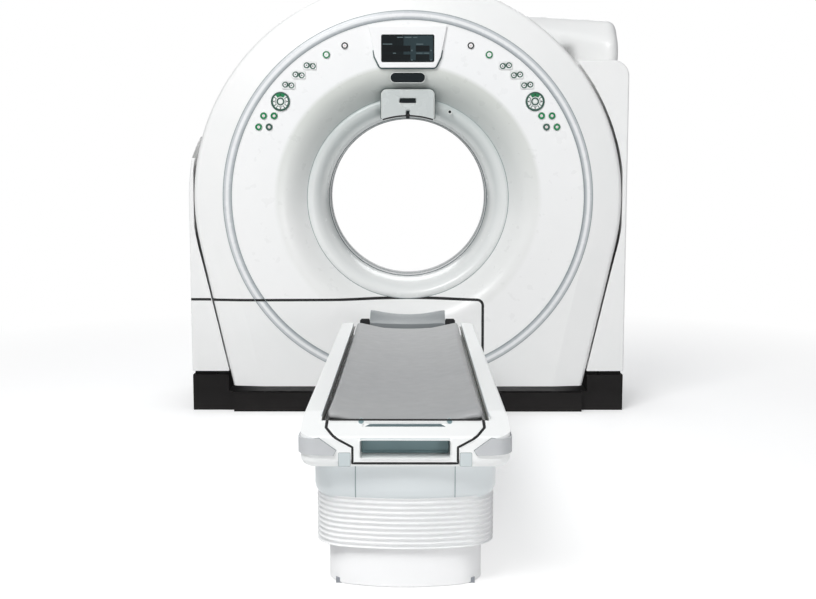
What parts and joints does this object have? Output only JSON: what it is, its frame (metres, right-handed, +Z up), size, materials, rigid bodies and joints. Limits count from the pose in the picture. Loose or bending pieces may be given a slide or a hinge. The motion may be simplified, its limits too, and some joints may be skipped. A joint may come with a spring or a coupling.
{
  "type": "ct scanner",
  "caption": "CT scanner with a tilting round gantry on a low base, control keys around the bore, and a lifting patient table with a sliding cradle, mattress and headrest.",
  "frame": {"origin": "on the floor, straight below the isocentre of the gantry", "axes": "+X right seen from the table, +Y from the table into the gantry along the scan axis, +Z up"},
  "size_m": [2.052, 3.251, 1.959],
  "materials": {
    "white_cover": "satin painted moulding",
    "grey_trim": "satin",
    "bore_grey": "satin",
    "clear_liner": "satin film",
    "black_base": "fine grain",
    "seam_rubber": "matt",
    "screen": "dark gloss",
    "dark_window": "gloss",
    "steel_frame": "painted",
    "machined_steel": "turned",
    "key_grey": "satin",
    "key_green": "satin",
    "key_red": "satin",
    "couch_white": "satin painted moulding",
    "casing_grey": "satin",
    "bumper_grey": "matt",
    "carbon_tabletop": "satin",
    "mattress_grey": "coated fabric",
    "headrest_grey": "foam skin",
    "bellows_grey": "coated cloth",
    "plinth_white": "satin",
    "tube_metal": "painted",
    "copper_winding": "varnished"
  },
  "bodies": {
    "stand": {"base_frame": "steel_frame", "base_skirt": "black_base", "left_stand_covers": "white_cover", "right_cabinet_cover": "white_cover", "rear_housing": "white_cover", "table_plinth": "plinth_white", "column_base": "machined_steel", "bellows": "bellows_grey"},
    "gantry": {"front_cover": "white_cover", "service_panel": "white_cover", "dish_cover": "white_cover", "rear_cover": "white_cover", "rear_funnel": "white_cover", "trim_ring": "grey_trim", "seam_gasket": "seam_rubber", "bore_ring": "bore_grey", "bore_liner": "clear_liner", "display_bezel": "white_cover", "display_screen": "screen", "indicator_window": "dark_window", "alignment_block": "key_grey", "tilt_frame": "steel_frame", "main_bearing": "machined_steel", "drive_stator": "copper_winding"},
    "rotor": {"rotor_drum": "machined_steel", "xray_tube": "tube_metal", "collimator": "tube_metal", "detector_arc": "steel_frame", "hv_generator": "tube_metal", "slip_ring": "machined_steel"},
    "couch": {"couch_frame": "couch_white", "foot_insert": "couch_white", "corner_bumpers": "bumper_grey", "couch_casing": "casing_grey", "column_top": "machined_steel"},
    "column_stage_1": {"column_stage_1": "machined_steel"},
    "column_stage_2": {"column_stage_2": "machined_steel"},
    "cradle": {"cradle": "carbon_tabletop", "mattress": "mattress_grey", "headrest": "headrest_grey"},
    "left_rocker_1": {"left_rocker_1": "key_grey"},
    "left_rocker_2": {"left_rocker_2": "key_grey"},
    "left_rocker_3": {"left_rocker_3": "key_grey"},
    "right_rocker_1": {"right_rocker_1": "key_grey"},
    "right_rocker_2": {"right_rocker_2": "key_grey"},
    "right_rocker_3": {"right_rocker_3": "key_grey"},
    "left_stop_button": {"left_stop_button": "key_red"},
    "left_start_button": {"left_start_button": "key_green"},
    "left_arrow_pad": {"left_arrow_pad": "key_grey"},
    "left_round_button_1": {"left_round_button_1": "key_green"},
    "left_round_button_2": {"left_round_button_2": "key_green"},
    "left_round_button_3": {"left_round_button_3": "key_green"},
    "left_round_button_4": {"left_round_button_4": "key_green"},
    "right_stop_button": {"right_stop_button": "key_red"},
    "right_start_button": {"right_start_button": "key_green"},
    "right_arrow_pad": {"right_arrow_pad": "key_grey"},
    "right_round_button_1": {"right_round_button_1": "key_green"},
    "right_round_button_2": {"right_round_button_2": "key_green"},
    "right_round_button_3": {"right_round_button_3": "key_green"},
    "right_round_button_4": {"right_round_button_4": "key_green"}
  },
  "joints": [
    {"name": "gantry_tilt", "type": "hinge", "parent": "stand", "child": "gantry", "pos_m": [0, 0, 0.98], "axis": [1, 0, 0], "range_deg": [-20, 30]},
    {"name": "rotor_spin", "type": "hinge", "parent": "gantry", "child": "rotor", "pos_m": [0, 0, 0.98], "axis": [0, 1, 0], "continuous": true},
    {"name": "table_lift", "type": "slide", "parent": "stand", "child": "couch", "axis": [0, 0, 1], "range_m": [0, 0.45], "deforming": ["bellows"]},
    {"name": "column_stage_1_slide", "type": "slide", "parent": "stand", "child": "column_stage_1", "axis": [0, 0, 1], "range_m": [0, 0.1501]},
    {"name": "column_stage_2_slide", "type": "slide", "parent": "stand", "child": "column_stage_2", "axis": [0, 0, 1], "range_m": [0, 0.3001]},
    {"name": "cradle_feed", "type": "slide", "parent": "couch", "child": "cradle", "axis": [0, 1, 0], "range_m": [0, 0.9001]},
    {"name": "left_rocker_1_press", "type": "hinge", "parent": "gantry", "child": "left_rocker_1", "pos_m": [-0.44032, -0.39106, 1.57723], "axis": [0, 0, 1], "range_deg": [-2.5, 2.5], "stiffness_Nm_per_rad": 2},
    {"name": "left_rocker_2_press", "type": "hinge", "parent": "gantry", "child": "left_rocker_2", "pos_m": [-0.49069, -0.39106, 1.53658], "axis": [0, 0, 1], "range_deg": [-2.5, 2.5], "stiffness_Nm_per_rad": 2},
    {"name": "left_rocker_3_press", "type": "hinge", "parent": "gantry", "child": "left_rocker_3", "pos_m": [-0.53734, -0.39106, 1.4917], "axis": [0, 0, 1], "range_deg": [-2.5, 2.5], "stiffness_Nm_per_rad": 2},
    {"name": "right_rocker_1_press", "type": "hinge", "parent": "gantry", "child": "right_rocker_1", "pos_m": [0.44032, -0.39106, 1.57723], "axis": [0, 0, 1], "range_deg": [-2.5, 2.5], "stiffness_Nm_per_rad": 2},
    {"name": "right_rocker_2_press", "type": "hinge", "parent": "gantry", "child": "right_rocker_2", "pos_m": [0.49069, -0.39106, 1.53658], "axis": [0, 0, 1], "range_deg": [-2.5, 2.5], "stiffness_Nm_per_rad": 2},
    {"name": "right_rocker_3_press", "type": "hinge", "parent": "gantry", "child": "right_rocker_3", "pos_m": [0.53734, -0.39106, 1.4917], "axis": [0, 0, 1], "range_deg": [-2.5, 2.5], "stiffness_Nm_per_rad": 2},
    {"name": "left_stop_button_press", "type": "slide", "parent": "gantry", "child": "left_stop_button", "axis": [0, 1, 0], "range_m": [0, 0.003], "stiffness_N_per_m": 600},
    {"name": "left_start_button_press", "type": "slide", "parent": "gantry", "child": "left_start_button", "axis": [0, 1, 0], "range_m": [0, 0.003], "stiffness_N_per_m": 600},
    {"name": "left_arrow_pad_press", "type": "slide", "parent": "gantry", "child": "left_arrow_pad", "axis": [0, 1, 0], "range_m": [0, 0.003], "stiffness_N_per_m": 600},
    {"name": "left_round_button_1_press", "type": "slide", "parent": "gantry", "child": "left_round_button_1", "axis": [0, 1, 0], "range_m": [0, 0.003], "stiffness_N_per_m": 600},
    {"name": "left_round_button_2_press", "type": "slide", "parent": "gantry", "child": "left_round_button_2", "axis": [0, 1, 0], "range_m": [0, 0.003], "stiffness_N_per_m": 600},
    {"name": "left_round_button_3_press", "type": "slide", "parent": "gantry", "child": "left_round_button_3", "axis": [0, 1, 0], "range_m": [0, 0.003], "stiffness_N_per_m": 600},
    {"name": "left_round_button_4_press", "type": "slide", "parent": "gantry", "child": "left_round_button_4", "axis": [0, 1, 0], "range_m": [0, 0.003], "stiffness_N_per_m": 600},
    {"name": "right_stop_button_press", "type": "slide", "parent": "gantry", "child": "right_stop_button", "axis": [0, 1, 0], "range_m": [0, 0.003], "stiffness_N_per_m": 600},
    {"name": "right_start_button_press", "type": "slide", "parent": "gantry", "child": "right_start_button", "axis": [0, 1, 0], "range_m": [0, 0.003], "stiffness_N_per_m": 600},
    {"name": "right_arrow_pad_press", "type": "slide", "parent": "gantry", "child": "right_arrow_pad", "axis": [0, 1, 0], "range_m": [0, 0.003], "stiffness_N_per_m": 600},
    {"name": "right_round_button_1_press", "type": "slide", "parent": "gantry", "child": "right_round_button_1", "axis": [0, 1, 0], "range_m": [0, 0.003], "stiffness_N_per_m": 600},
    {"name": "right_round_button_2_press", "type": "slide", "parent": "gantry", "child": "right_round_button_2", "axis": [0, 1, 0], "range_m": [0, 0.003], "stiffness_N_per_m": 600},
    {"name": "right_round_button_3_press", "type": "slide", "parent": "gantry", "child": "right_round_button_3", "axis": [0, 1, 0], "range_m": [0, 0.003], "stiffness_N_per_m": 600},
    {"name": "right_round_button_4_press", "type": "slide", "parent": "gantry", "child": "right_round_button_4", "axis": [0, 1, 0], "range_m": [0, 0.003], "stiffness_N_per_m": 600}
  ],
  "couplings": [
    {"joint": "column_stage_1_slide", "follows": "table_lift", "ratio": 0.33333},
    {"joint": "column_stage_2_slide", "follows": "table_lift", "ratio": 0.66667},
    {"joint": "cradle_feed", "follows": "table_lift", "ratio": 2}
  ]
}
